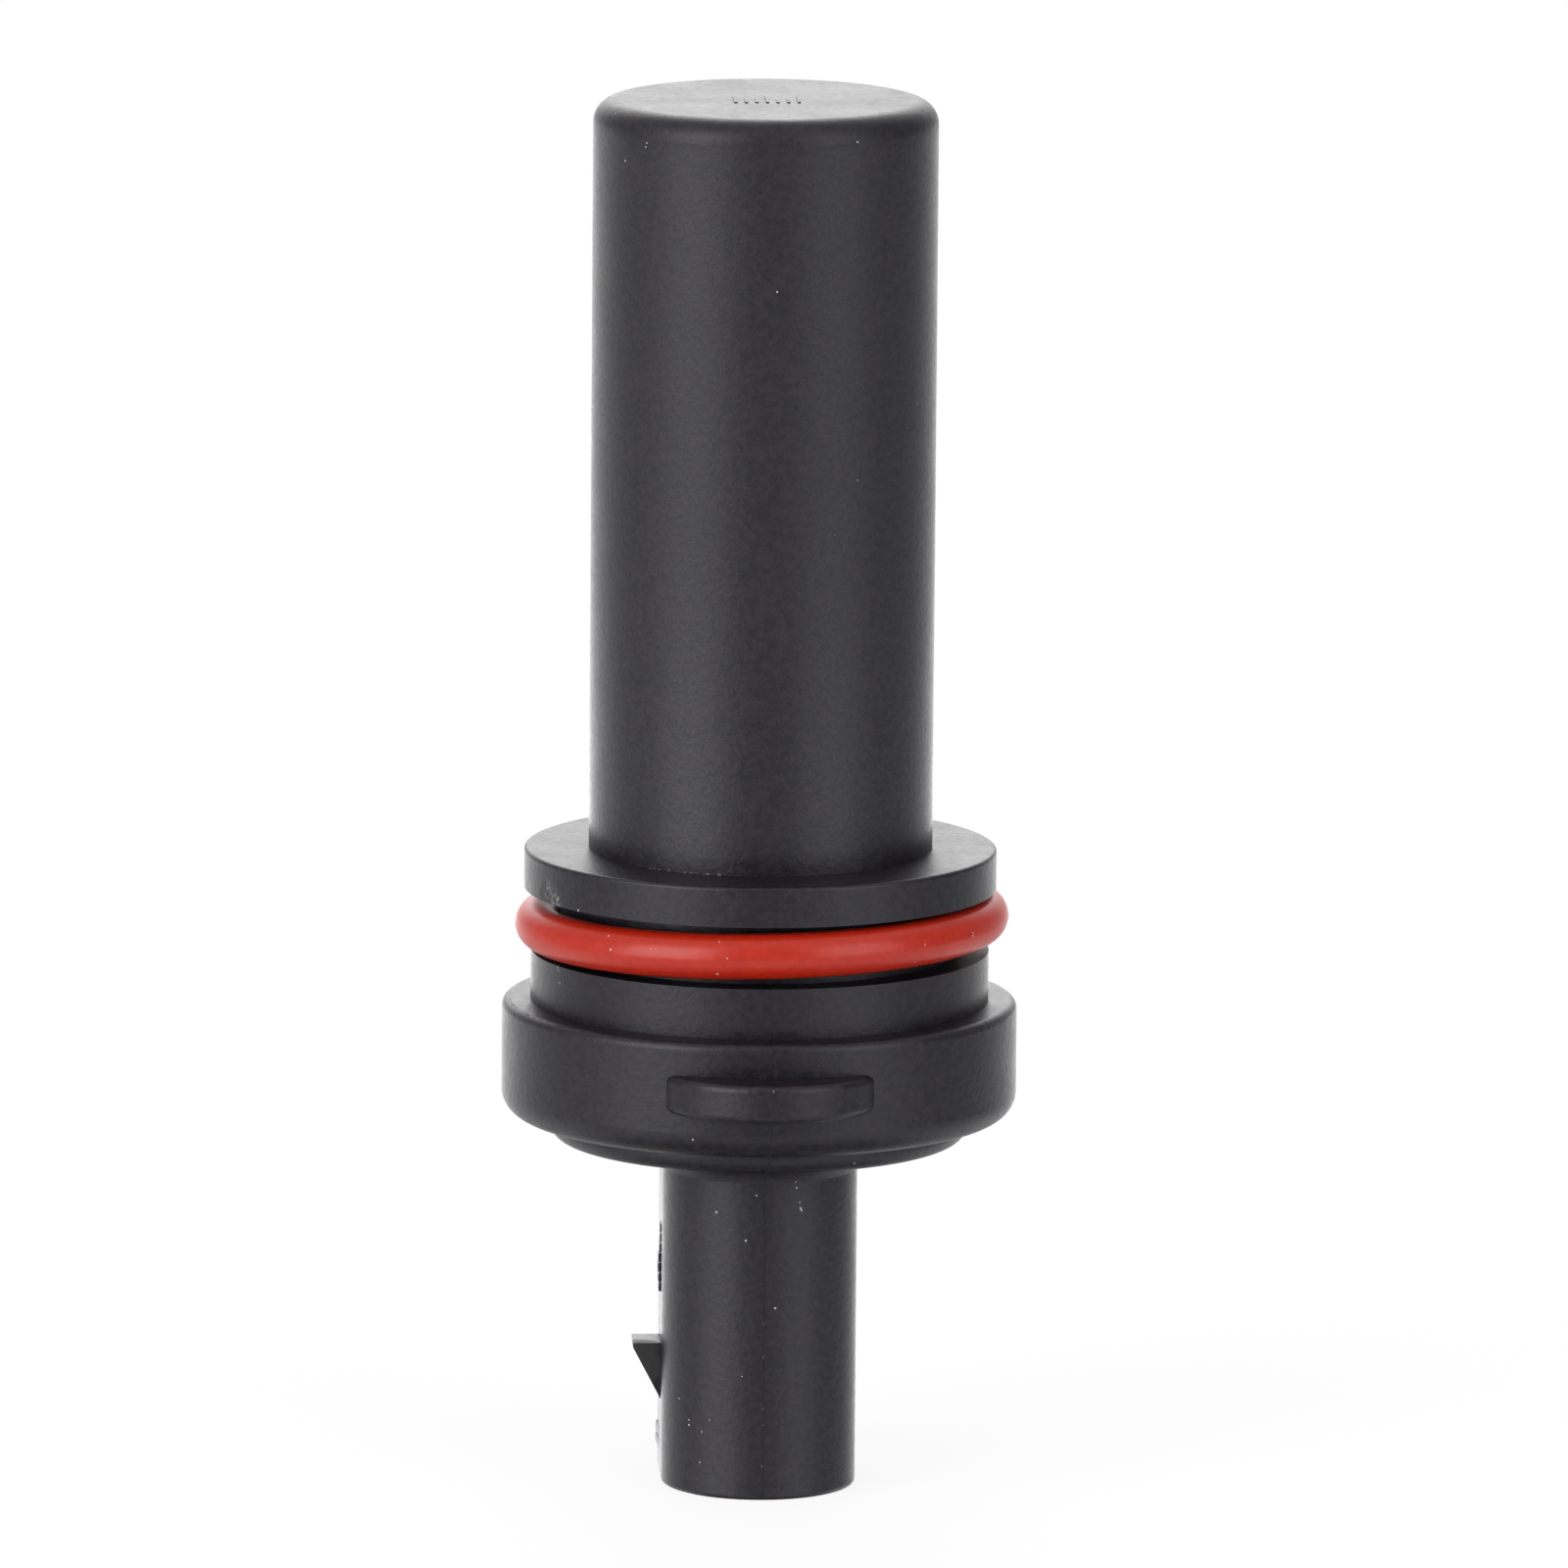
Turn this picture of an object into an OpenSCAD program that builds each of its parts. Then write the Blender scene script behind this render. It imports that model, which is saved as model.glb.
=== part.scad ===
// Plug-in crankshaft position sensor with a round probe, a seal ring and a two-blade connector.
// Origin: on the probe's axis, in the flange's seating face. +Z runs to the probe's tip,
// -Y is the front with the locating lug, -X is the flank with the connector's lock wedge.

/* [Probe] */
// Diameter of the probe
probe_d = 18; // [16:0.1:19.5]
// Length of the probe from the collar's top face to the tip
probe_l = 39.45; // [32:0.05:50]
// Wall of the probe round its bore
probe_wall = 1.3; // [1:0.05:2]
// Wall of the probe at the tip
tip_wall = 1; // [0.6:0.05:2]
// Rounding of the tip's edge
tip_round = 1.25; // [0.3:0.05:2]

/* [Collar and seal] */
// Diameter of the pilot collar
collar_d = 24.75; // [23:0.05:27]
// Height of the pilot collar
collar_h = 2.1; // [1.6:0.05:4]
// Rounding of the collar's top edge
collar_round = 0.2; // [0.1:0.05:0.8]
// Width of the seal groove between the land and the collar
groove_w = 3.3; // [2.6:0.05:4.5]
// Diameter of the groove's floor, which is the spigot of the probe housing
groove_d = 21; // [20:0.05:22]
// Thickness of the seal ring
seal_section = 2.4; // [1.8:0.05:2.55]
// Depth of the spigot below the land's top face
spigot_l = 5.3; // [4:0.1:7]
// Wall of the spigot round the potted end
spigot_wall = 1.6; // [1.2:0.05:2]

/* [Land and flange] */
// Diameter of the land below the seal ring
land_d = 24; // [23:0.05:26]
// Height of the land above the seating face
land_h = 2.65; // [2:0.05:5]
// Diameter of the flange
flange_d = 27; // [26.5:0.1:34]
// Height of the flange
flange_h = 6.15; // [5:0.05:9]
// Rounding of the flange's upper edge
flange_round = 0.45; // [0.1:0.05:0.8]
// Rounding of the flange's lower edge
flange_under_round = 1.35; // [0.4:0.05:1.5]
// Diameter of the low boss under the flange
boss_d = 22; // [19:0.1:23]
// Height of the low boss
boss_h = 1.25; // [1:0.05:3]
// Rounding of the boss's lower edge
boss_round = 0.85; // [0.2:0.05:0.95]

/* [Locating lug] */
// Radius of the lug's curved face
lug_r = 5.95; // [4.5:0.05:8]
// Reach of the lug beyond the flange
lug_reach = 2.3; // [1:0.05:3.5]
// Height of the lug
lug_h = 2.05; // [1.2:0.05:2.6]
// Distance of the lug's top below the seating face
lug_drop = 1.75; // [0.8:0.05:2]
// Rounding of the lug's edges
lug_round = 0.4; // [0.1:0.05:0.5]

/* [Connector] */
// Width of the connector shroud across its flat flanks
shroud_w = 10.2; // [9:0.1:12]
// Depth of the connector shroud from front to back
shroud_depth = 14.4; // [13.5:0.1:18]
// Length of the shroud below the boss
shroud_l = 18.05; // [15:0.05:24]
// Rounding of the corner between the boss and the shroud
root_round = 1.4; // [0.5:0.05:2]
// Wall of the shroud
shroud_wall = 1.25; // [0.9:0.05:1.6]
// Depth of the connector's cavity
cavity_depth = 15; // [12:0.1:17]
// Rounding of the shroud's outer rim
rim_round = 0.25; // [0.1:0.05:0.4]
// Lead-in chamfer inside the mouth
mouth_chamfer = 0.4; // [0.2:0.05:0.6]
// Reach of the lock wedge from the flank
wedge_reach = 1.45; // [0.8:0.05:2.5]
// Height of the lock wedge from its ledge to the end of its ramp
wedge_h = 3; // [2:0.1:4.5]
// Width of the lock wedge
wedge_w = 2.4; // [2:0.1:5]
// Blunt nose at the wedge's edge
wedge_nose = 0.25; // [0.1:0.05:0.5]
// Distance of the wedge's ledge from the rim
wedge_rise = 7.2; // [5:0.1:9]

/* [Terminals] */
// Distance between the two blades' middles
blade_pitch = 6; // [5.8:0.1:7]
// Width of a blade
blade_w = 1.5; // [1.2:0.1:1.7]
// Thickness of the sheet that the terminals are stamped from
blade_t = 0.8; // [0.5:0.05:1]
// Free length of a blade in the cavity
blade_l = 8.8; // [6:0.1:10]
// Length of the tapered blade tip
blade_taper = 1.2; // [0.6:0.1:2]
// Width of a blade's blunt end
blade_end = 0.7; // [0.4:0.05:1]
// Height of a terminal's foot, which lies on the socket's floor
foot_h = 1.2; // [0.8:0.1:1.6]
// Width of a terminal's upright tail
tail_w = 1.2; // [0.8:0.1:1.6]
// Length of a terminal's upright tail above its foot
tail_l = 4.6; // [3:0.1:5]

/* [Pickup] */
// Diameter of the magnet
magnet_d = 8; // [6:0.1:9]
// Length of the magnet
magnet_l = 12; // [8:0.1:14]
// Thickness of the soft-iron plate behind the magnet
back_plate_h = 1.5; // [1:0.1:2.5]
// Diameter of the pole pin's stem
pole_d = 4; // [3:0.1:5]
// Height of the pole pin's head
pole_head_h = 1.6; // [1:0.1:2.5]
// Wall of the bobbin's tubes
bobbin_wall = 1.2; // [0.8:0.05:1.5]
// Thickness of the bobbin's flanges
bobbin_flange_h = 1.2; // [0.8:0.05:1.8]
// Thickness of the bobbin's seat flange
seat_flange_h = 1.5; // [1:0.05:2]
// Depth of the bobbin's seat below the collar's top face
seat_depth = 1.15; // [0.5:0.05:2]
// Depth of the winding's outside below the bobbin flanges' edge
winding_step = 0.6; // [0.4:0.05:1]
// Thickness of the film wrapped round the winding
tape_t = 0.15; // [0.05:0.05:0.3]
// Diameter of the coil pins
coil_pin_d = 0.8; // [0.5:0.05:1]
// Reach of the coil pins above the seat flange
coil_pin_rise = 2.6; // [1.5:0.1:4]
// Reach of the coil pins below the seat flange
coil_pin_drop = 4.2; // [2:0.1:5]
// Diameter of the lead wires
lead_d = 0.4; // [0.2:0.05:0.6]

/* [Fits] */
// Radial clearance of the spigot in its socket
spigot_fit = 0.05; // [0.02:0.01:0.15]
// Clearance of the bobbin in the probe's bore
bobbin_fit = 0.1; // [0.05:0.01:0.2]
// Clearance round inserted metal pieces and potting
insert_fit = 0.03; // [0.01:0.01:0.08]
// Clearance of the seal ring round the groove's floor
seal_fit = 0.02; // [0:0.01:0.1]

/* [Hidden] */
$fn = 96;

// Overshoot of cutting shapes past the faces that they open
cut = 1;

// Levels of the outside, from the groove to the tip and down to the rim
collar_z = land_h + groove_w;
probe_z = collar_z + collar_h;
tip_z = probe_z + probe_l;
boss_z = -flange_h - boss_h;
rim_z = boss_z - shroud_l;
cavity_z = rim_z + cavity_depth;
spigot_z = land_h - spigot_l;
socket_z = spigot_z - spigot_fit;

// Radii inside the probe housing
bore_r = probe_d / 2 - probe_wall;
potted_r = groove_d / 2 - spigot_wall;
bore_end_z = tip_z - tip_wall;

// Straight length of the shroud's flat flanks
shroud_straight = shroud_depth - shroud_w;

// Rounding at the shroud's root, as far as the boss's flat underside has room for it
root_r = min(root_round, boss_d / 2 - boss_round - shroud_depth / 2);
// Depth by which that rounding runs into the boss and the shroud, so that the faces cross
root_sink = 0.02;

// Levels of the pickup, from its seat to the tip
seat_z = probe_z - seat_depth;
seat_under_z = seat_z - seat_flange_h;
magnet_z = seat_under_z + back_plate_h;
pole_head_z = magnet_z + magnet_l;
pole_stem_z = pole_head_z + pole_head_h;
winding_z = pole_stem_z + bobbin_flange_h;
pickup_end_z = bore_end_z - bobbin_fit;
winding_end_z = pickup_end_z - bobbin_flange_h;

// Radii of the pickup
bobbin_r = bore_r - bobbin_fit;
seat_flange_r = potted_r - bobbin_fit;
pocket_r = magnet_d / 2 + insert_fit;
pocket_wall_r = pocket_r + bobbin_wall;
core_bore_r = pole_d / 2 + insert_fit;
core_r = core_bore_r + bobbin_wall;
winding_r = bobbin_r - winding_step;

// Places of the tails, pins and wires beside the magnet's pocket
coil_pin_x = blade_t / 2 + insert_fit + coil_pin_d / 2;
wrap_r = coil_pin_d / 2 + insert_fit + lead_d;
tail_y = pocket_wall_r + insert_fit + wrap_r;
lead_x = coil_pin_x + wrap_r - lead_d / 2;
wrap_h = 4 * lead_d;

// Corner of a profile that a rounding takes away: the corner points along +X and up
module corner_waste(radius, up) {
    difference() {
        translate([0, up > 0 ? 0 : -radius - cut])
            square(radius + cut);
        circle(radius);
    }
}

// Half profile of a disc whose lower and upper edges are rounded
module disc_profile(radius, bottom, top, bottom_round, top_round) {
    difference() {
        translate([0, bottom])
            square([radius, top - bottom]);
        if (bottom_round > 0)
            translate([radius - bottom_round, bottom + bottom_round])
                corner_waste(bottom_round, -1);
        if (top_round > 0)
            translate([radius - top_round, top - top_round])
                corner_waste(top_round, 1);
    }
}

// Solid with half-round ends and straight flanks, from the half profile of its end
module stadium(straight) {
    for (side = [-1, 1])
        translate([0, side * straight / 2, 0])
            rotate_extrude()
                children();
    rotate([90, 0, 0])
        linear_extrude(straight, center = true) {
            children();
            mirror([1, 0])
                children();
        }
}

// Round tube or disc between two levels
module ring(outer, inner, bottom, top) {
    difference() {
        translate([0, 0, bottom])
            cylinder(r = outer, h = top - bottom);
        if (inner > 0)
            translate([0, 0, bottom - cut])
                cylinder(r = inner, h = top - bottom + 2 * cut);
    }
}

// Probe cup with its collar and the spigot that forms the groove's floor
module probe_housing() {
    color([0.11, 0.11, 0.12])
        difference() {
            rotate_extrude() {
                disc_profile(groove_d / 2, spigot_z, probe_z, 0, 0);
                disc_profile(collar_d / 2, collar_z, probe_z, 0, collar_round);
                disc_profile(probe_d / 2, collar_z, tip_z, 0, tip_round);
            }
            ring(bore_r, 0, spigot_z - cut, bore_end_z);
            ring(potted_r, 0, spigot_z - cut, seat_z);
        }
}

// Round lower part of the connector body: land, flange and boss
module flange_stack() {
    rotate_extrude() {
        disc_profile(land_d / 2, -flange_round, land_h, 0, 0);
        disc_profile(flange_d / 2, -flange_h, 0, flange_under_round, flange_round);
        disc_profile(boss_d / 2, boss_z, -flange_h, boss_round, 0);
    }
}

// Crescent lug on the flange's front, the part of a rounded disc that stands out
module lug() {
    translate([0, lug_r - lug_reach - flange_d / 2, 0])
        rotate_extrude()
            disc_profile(lug_r, -lug_drop - lug_h, -lug_drop, lug_round, lug_round);
}

// Profile of the rounded corner between the boss and the shroud
module root_profile() {
    translate([shroud_w / 2, boss_z - root_r])
        difference() {
            translate([-shroud_wall / 2, 0])
                square([shroud_wall / 2 + root_r, root_r + boss_h / 2]);
            translate([root_r - root_sink, root_sink])
                circle(root_r);
        }
}

// Outside of the connector shroud with its rounded root, reaching up into the boss
module shroud_outside() {
    stadium(shroud_straight) {
        disc_profile(shroud_w / 2, rim_z, boss_z + boss_h, rim_round, 0);
        if (root_r > root_sink)
            root_profile();
    }
}

// Space that the mating connector enters, with the lead-in at its mouth
module cavity() {
    cavity_half = shroud_w / 2 - shroud_wall;
    stadium(shroud_straight) {
        disc_profile(cavity_half, rim_z - cut, cavity_z, 0, 0);
        polygon([
            [0, rim_z - cut],
            [cavity_half + mouth_chamfer + cut, rim_z - cut],
            [cavity_half, rim_z + mouth_chamfer],
            [0, rim_z + mouth_chamfer]
        ]);
    }
}

// Lock wedge on the left flank, with its ledge towards the flange and its ramp towards the mouth
module lock_wedge() {
    flank = shroud_w / 2;
    ledge_z = rim_z + wedge_rise;
    rotate([90, 0, 0])
        linear_extrude(wedge_w, center = true)
            polygon([
                [-flank + shroud_wall / 2, ledge_z],
                [-flank - wedge_reach, ledge_z],
                [-flank - wedge_reach, ledge_z - wedge_nose],
                [-flank, ledge_z - wedge_h],
                [-flank + shroud_wall / 2, ledge_z - wedge_h]
            ]);
}

// Outline of a terminal in its sheet, for the blade on the +Y side, grown by a clearance
module terminal_outline(grow) {
    blade_y = blade_pitch / 2;
    tip_z = cavity_z - blade_l;
    foot_top = socket_z + foot_h;
    translate([blade_y - blade_w / 2 - grow, tip_z + blade_taper])
        square([blade_w + 2 * grow, foot_top - tip_z - blade_taper + grow]);
    polygon([
        [blade_y - blade_end / 2 - grow, tip_z - grow],
        [blade_y + blade_end / 2 + grow, tip_z - grow],
        [blade_y + blade_w / 2 + grow, tip_z + blade_taper],
        [blade_y - blade_w / 2 - grow, tip_z + blade_taper]
    ]);
    translate([blade_y, socket_z - grow])
        square([tail_y + tail_w / 2 - blade_y + grow, foot_h + 2 * grow]);
    translate([tail_y - tail_w / 2 - grow, socket_z - grow])
        square([tail_w + 2 * grow, foot_h + tail_l + 2 * grow]);
}

// Stamped terminal on one side, grown by a clearance where it is cut from its surroundings
module terminal(side, grow) {
    mirror([0, side < 0 ? 1 : 0, 0])
        rotate([90, 0, 90])
            linear_extrude(blade_t + 2 * grow, center = true)
                terminal_outline(grow);
}

// Slot for one blade through the web between the cavity and the socket
module blade_slot(side) {
    translate([0, side * blade_pitch / 2, (cavity_z + socket_z) / 2])
        cube([blade_t + 2 * insert_fit, blade_w + 2 * insert_fit, socket_z - cavity_z + 2 * cut], center = true);
}

// Lower moulding: land, flange, lug, boss, connector shroud and lock wedge in one piece
module connector_body() {
    color([0.12, 0.12, 0.13])
        difference() {
            union() {
                flange_stack();
                lug();
                shroud_outside();
                lock_wedge();
            }
            ring(groove_d / 2 + spigot_fit, 0, socket_z, land_h + cut);
            cavity();
            for (side = [-1, 1])
                blade_slot(side);
        }
}

// Rubber ring that grips the groove's floor, midway between the groove's sides
module seal_ring() {
    color([0.73, 0.16, 0.14])
        translate([0, 0, land_h + groove_w / 2])
            rotate_extrude()
                translate([groove_d / 2 + seal_fit + seal_section / 2, 0])
                    circle(d = seal_section);
}

// Coil former with the winding's flanges, the magnet's pocket and the flange that seats in the housing
module bobbin() {
    color([0.82, 0.78, 0.68])
        difference() {
            union() {
                ring(bobbin_r, 0, winding_end_z, pickup_end_z);
                ring(core_r, 0, winding_z, winding_end_z);
                ring(bobbin_r, 0, pole_stem_z, winding_z);
                ring(pocket_wall_r, 0, seat_under_z, pole_stem_z);
                ring(seat_flange_r, 0, seat_under_z, seat_z);
            }
            ring(core_bore_r, 0, seat_under_z - cut, pickup_end_z + cut);
            ring(pocket_r, 0, seat_under_z - cut, pole_stem_z);
            for (side = [-1, 1]) {
                translate([coil_pin_x, side * tail_y, seat_under_z - cut])
                    cylinder(d = coil_pin_d + 2 * insert_fit, h = seat_flange_h + 2 * cut);
                translate([lead_x, side * tail_y, pole_stem_z - cut])
                    cylinder(d = lead_d + 2 * insert_fit, h = bobbin_flange_h + 2 * cut);
            }
        }
}

// Copper winding between the bobbin's flanges
module coil_winding() {
    color([0.62, 0.30, 0.14])
        ring(winding_r, core_r + insert_fit, winding_z + insert_fit, winding_end_z - insert_fit);
}

// Film wrapped round the winding
module coil_tape() {
    color([0.80, 0.62, 0.20])
        ring(
            winding_r + insert_fit + tape_t,
            winding_r + insert_fit,
            winding_z + insert_fit,
            winding_end_z - insert_fit
        );
}

// Soft-iron pole piece whose head lies on the magnet
module pole_pin() {
    color([0.55, 0.55, 0.57])
        union() {
            ring(magnet_d / 2, 0, pole_head_z, pole_stem_z);
            ring(pole_d / 2, 0, pole_head_z, pickup_end_z);
        }
}

// Bar magnet in the bobbin's pocket
module magnet() {
    color([0.30, 0.30, 0.32])
        ring(magnet_d / 2, 0, magnet_z, pole_head_z);
}

// Soft-iron disc that closes the magnet's pocket
module back_plate() {
    color([0.55, 0.55, 0.57])
        ring(magnet_d / 2, 0, seat_under_z, magnet_z);
}

// Pin in the seat flange, between a coil end above and a terminal's tail below
module coil_pin(side) {
    color([0.78, 0.77, 0.72])
        translate([coil_pin_x, side * tail_y, seat_under_z - coil_pin_drop])
            cylinder(d = coil_pin_d, h = coil_pin_drop + seat_flange_h + coil_pin_rise);
}

// Coil end: a wire down from the winding and its turns round a coil pin
module lead_wire(side) {
    color([0.66, 0.34, 0.16])
        translate([0, side * tail_y, 0]) {
            translate([coil_pin_x, 0, 0])
                ring(wrap_r, coil_pin_d / 2 + insert_fit, seat_z, seat_z + wrap_h);
            translate([lead_x, 0, seat_z + wrap_h / 2])
                cylinder(d = lead_d, h = winding_z - seat_z - wrap_h / 2);
        }
}

// Stamped connector blade with its foot and tail
module connector_terminal(side) {
    color([0.80, 0.80, 0.78])
        terminal(side, 0);
}

// Resin round the tails and pins in the spigot
module potting_fill() {
    color([0.07, 0.07, 0.08])
        difference() {
            ring(potted_r - insert_fit, 0, socket_z, seat_under_z);
            for (side = [-1, 1]) {
                terminal(side, insert_fit);
                translate([coil_pin_x, side * tail_y, socket_z - cut])
                    cylinder(d = coil_pin_d + 2 * insert_fit, h = seat_under_z - socket_z + 2 * cut);
            }
        }
}

probe_housing();
connector_body();
seal_ring();
bobbin();
coil_winding();
coil_tape();
pole_pin();
magnet();
back_plate();
coil_pin(-1);  // coil_pin_front
coil_pin(1);  // coil_pin_rear
lead_wire(-1);  // lead_wire_front
lead_wire(1);  // lead_wire_rear
connector_terminal(-1);  // terminal_front
connector_terminal(1);  // terminal_rear
potting_fill();
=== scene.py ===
import math

import bmesh
import bpy
from mathutils import Matrix, Vector, noise


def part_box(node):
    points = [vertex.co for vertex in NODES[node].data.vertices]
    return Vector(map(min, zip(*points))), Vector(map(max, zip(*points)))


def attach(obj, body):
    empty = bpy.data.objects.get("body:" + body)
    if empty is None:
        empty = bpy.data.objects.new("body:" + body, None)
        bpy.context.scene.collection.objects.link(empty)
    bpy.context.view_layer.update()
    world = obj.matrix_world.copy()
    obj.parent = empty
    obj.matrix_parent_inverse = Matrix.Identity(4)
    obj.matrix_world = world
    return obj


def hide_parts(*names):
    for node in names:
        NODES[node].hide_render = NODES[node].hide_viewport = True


# Looks of the plug-in crankshaft position sensor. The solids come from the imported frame. This script
# gives every piece its finish, adds the fine moulding marks and the seated rubber ring, and sets up
# the white studio and the camera.

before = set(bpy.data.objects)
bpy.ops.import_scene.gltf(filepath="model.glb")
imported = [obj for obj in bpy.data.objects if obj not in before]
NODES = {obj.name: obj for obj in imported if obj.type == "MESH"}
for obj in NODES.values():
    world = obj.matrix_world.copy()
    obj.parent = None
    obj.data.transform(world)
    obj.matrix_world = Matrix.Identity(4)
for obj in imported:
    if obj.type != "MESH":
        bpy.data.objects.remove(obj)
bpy.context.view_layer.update()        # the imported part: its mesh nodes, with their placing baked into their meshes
MM = 0.001

# Camera, as in the photograph: pixels are those of its frame
PHOTO_SIDE = 1600
FOCAL_PIXELS = 18524
SENSOR_MM = 36
CAMERA_DISTANCE = 950 * MM
CAMERA_ELEVATION = math.radians(9.97)
CAMERA_TURN = math.radians(2.85)
CAMERA_ROLL = math.radians(0.456)
TARGET = Vector((0, 0, 10 * MM))
TARGET_PIXEL = (776.3, 825.8)

# Levels and radii that the added pieces sit on
RIM_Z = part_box("connector_body")[0].z
LAND_TOP_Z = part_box("connector_body")[1].z
TIP_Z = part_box("probe_housing")[1].z
SEAL_LOW, SEAL_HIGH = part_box("seal_ring")
SEAL_SECTION = SEAL_HIGH.z - SEAL_LOW.z
SEAL_R = SEAL_HIGH.x - SEAL_SECTION / 2
SEAL_Z = (SEAL_LOW.z + SEAL_HIGH.z) / 2
PROBE_R = 9 * MM
COLLAR_TOP_Z = 8.05 * MM
FLANK_X = -5.1 * MM
SOCKET_R = 10.55 * MM
SOCKET_Z = -3 * MM
CAVITY_Z = -10.45 * MM
CAVITY_REACH = 6.4 * MM

# Points closer than this are one point when a mesh is merged
MERGE_DISTANCE = 0.0005 * MM

# Input and output numbers of a colour Mix node, whose names repeat
MIX_FACTOR, MIX_A, MIX_B, MIX_RESULT = 0, 6, 7, 2


class Value:
    """One output socket of a node. Sums, products and comparisons of values add Math nodes."""

    def __init__(self, graph, socket):
        self.graph = graph
        self.socket = socket

    def math(self, operation, *terms):
        return self.graph.node("ShaderNodeMath", {"operation": operation}, dict(enumerate(terms)))

    def __add__(self, other):
        return self.math("ADD", self, other)

    def __radd__(self, other):
        return self.math("ADD", other, self)

    def __sub__(self, other):
        return self.math("SUBTRACT", self, other)

    def __rsub__(self, other):
        return self.math("SUBTRACT", other, self)

    def __mul__(self, other):
        return self.math("MULTIPLY", self, other)

    def __rmul__(self, other):
        return self.math("MULTIPLY", other, self)

    def __pow__(self, other):
        return self.math("POWER", self, other)

    def __lt__(self, other):
        return self.math("LESS_THAN", self, other)

    def sine(self):
        return self.math("SINE", self)

    def size(self):
        return self.math("ABSOLUTE", self)

    def larger(self, other):
        return self.math("MAXIMUM", self, other)

    def step(self, low, high):
        """Smooth rise from 0 at low to 1 at high."""
        limits = {"Value": self, "From Min": low, "From Max": high}
        return self.graph.node("ShaderNodeMapRange", {"interpolation_type": "SMOOTHSTEP"}, limits)


class Graph:
    """The nodes of one material or of the world."""

    def __init__(self, owner):
        owner.use_nodes = True
        self.owner = owner
        self.tree = owner.node_tree
        self.tree.nodes.clear()

    def node(self, kind, settings=None, inputs=None, output=0):
        made = self.tree.nodes.new(kind)
        for name, value in (settings or {}).items():
            setattr(made, name, value)
        for key, value in (inputs or {}).items():
            if isinstance(value, Value):
                self.tree.links.new(value.socket, made.inputs[key])
            else:
                made.inputs[key].default_value = value
        return Value(self, made.outputs[output]) if made.outputs else None

    def place(self):
        """Object coordinates of the surface, in metres."""
        return self.node("ShaderNodeTexCoord", output="Object")

    def noise(self, place, cell, detail=2.0, roughness=0.5):
        """Soft noise whose lumps are about one cell wide."""
        inputs = {"Vector": place, "Scale": 1 / cell, "Detail": detail, "Roughness": roughness}
        return self.node("ShaderNodeTexNoise", inputs=inputs)

    def mix(self, share, first, second):
        inputs = {MIX_FACTOR: share, MIX_A: first, MIX_B: second}
        return self.node("ShaderNodeMix", {"data_type": "RGBA"}, inputs, MIX_RESULT)

    def bump(self, height, depth, under=None):
        """Normal of a height between 0 and 1 that stands for a depth in metres."""
        inputs = {"Height": height, "Distance": depth, "Strength": 1.0}
        if under:
            inputs["Normal"] = under
        return self.node("ShaderNodeBump", inputs=inputs)

    def axis(self, vector, name):
        return self.node("ShaderNodeSeparateXYZ", inputs={0: vector}, output=name)

    def distance(self, place, point):
        settings = {"operation": "DISTANCE"}
        return self.node("ShaderNodeVectorMath", settings, {0: place, 1: tuple(point)}, "Value")

    def flat(self, vector):
        """A vector without its part along Z."""
        return self.node("ShaderNodeVectorMath", {"operation": "MULTIPLY"}, {0: vector, 1: (1, 1, 0)})

    def radius(self, place):
        """Distance of a place from the sensor's axis."""
        return self.distance(self.flat(place), (0, 0, 0))

    def in_view(self):
        """1 for rays from the camera or through something clear, and 0 for the rest."""
        camera_ray = self.node("ShaderNodeLightPath", output="Is Camera Ray")
        through = self.node("ShaderNodeLightPath", output="Is Transmission Ray")
        return camera_ray.larger(through)

    def surface(self, **inputs):
        """Closes the material with a Principled shader."""
        named = {name.replace("_", " "): value for name, value in inputs.items()}
        shader = self.node("ShaderNodeBsdfPrincipled", inputs=named)
        self.node("ShaderNodeOutputMaterial", inputs={"Surface": shader})
        return self.owner


def new_finish(name):
    return Graph(bpy.data.materials.new(name))


def opaque(red, green, blue):
    return (red, green, blue, 1.0)


# Camera

def photo_camera():
    """Camera at the photograph's viewing angle, moved so that the target falls on its pixel."""
    back = Vector((
        -math.sin(CAMERA_TURN) * math.cos(CAMERA_ELEVATION),
        -math.cos(CAMERA_TURN) * math.cos(CAMERA_ELEVATION),
        math.sin(CAMERA_ELEVATION),
    ))
    turn = (-back).to_track_quat("-Z", "Y").to_matrix() @ Matrix.Rotation(CAMERA_ROLL, 3, "Z")
    metres_per_pixel = CAMERA_DISTANCE / FOCAL_PIXELS
    right = (PHOTO_SIDE / 2 - TARGET_PIXEL[0]) * metres_per_pixel
    up = (TARGET_PIXEL[1] - PHOTO_SIDE / 2) * metres_per_pixel
    camera = bpy.data.objects.new("photo_camera", bpy.data.cameras.new("photo_camera"))
    camera.data.sensor_width = SENSOR_MM
    camera.data.lens = FOCAL_PIXELS * SENSOR_MM / PHOTO_SIDE
    place = TARGET + back * CAMERA_DISTANCE + turn @ Vector((right, up, 0))
    camera.matrix_world = Matrix.Translation(place) @ turn.to_4x4()
    bpy.context.scene.collection.objects.link(camera)
    bpy.context.scene.camera = camera
    return place, turn


CAMERA_PLACE, CAMERA_AXES = photo_camera()


def photo_point(piece, pixel):
    """The point of a piece that a pixel of the photograph shows."""
    across = (pixel[0] - PHOTO_SIDE / 2) / FOCAL_PIXELS
    down = (pixel[1] - PHOTO_SIDE / 2) / FOCAL_PIXELS
    ray = CAMERA_AXES @ Vector((across, -down, -1))
    hit, point, *_ = piece.ray_cast(CAMERA_PLACE, ray.normalized())
    if not hit:
        raise ValueError(f"pixel {pixel} misses {piece.name}")
    return point


# Finishes

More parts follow.
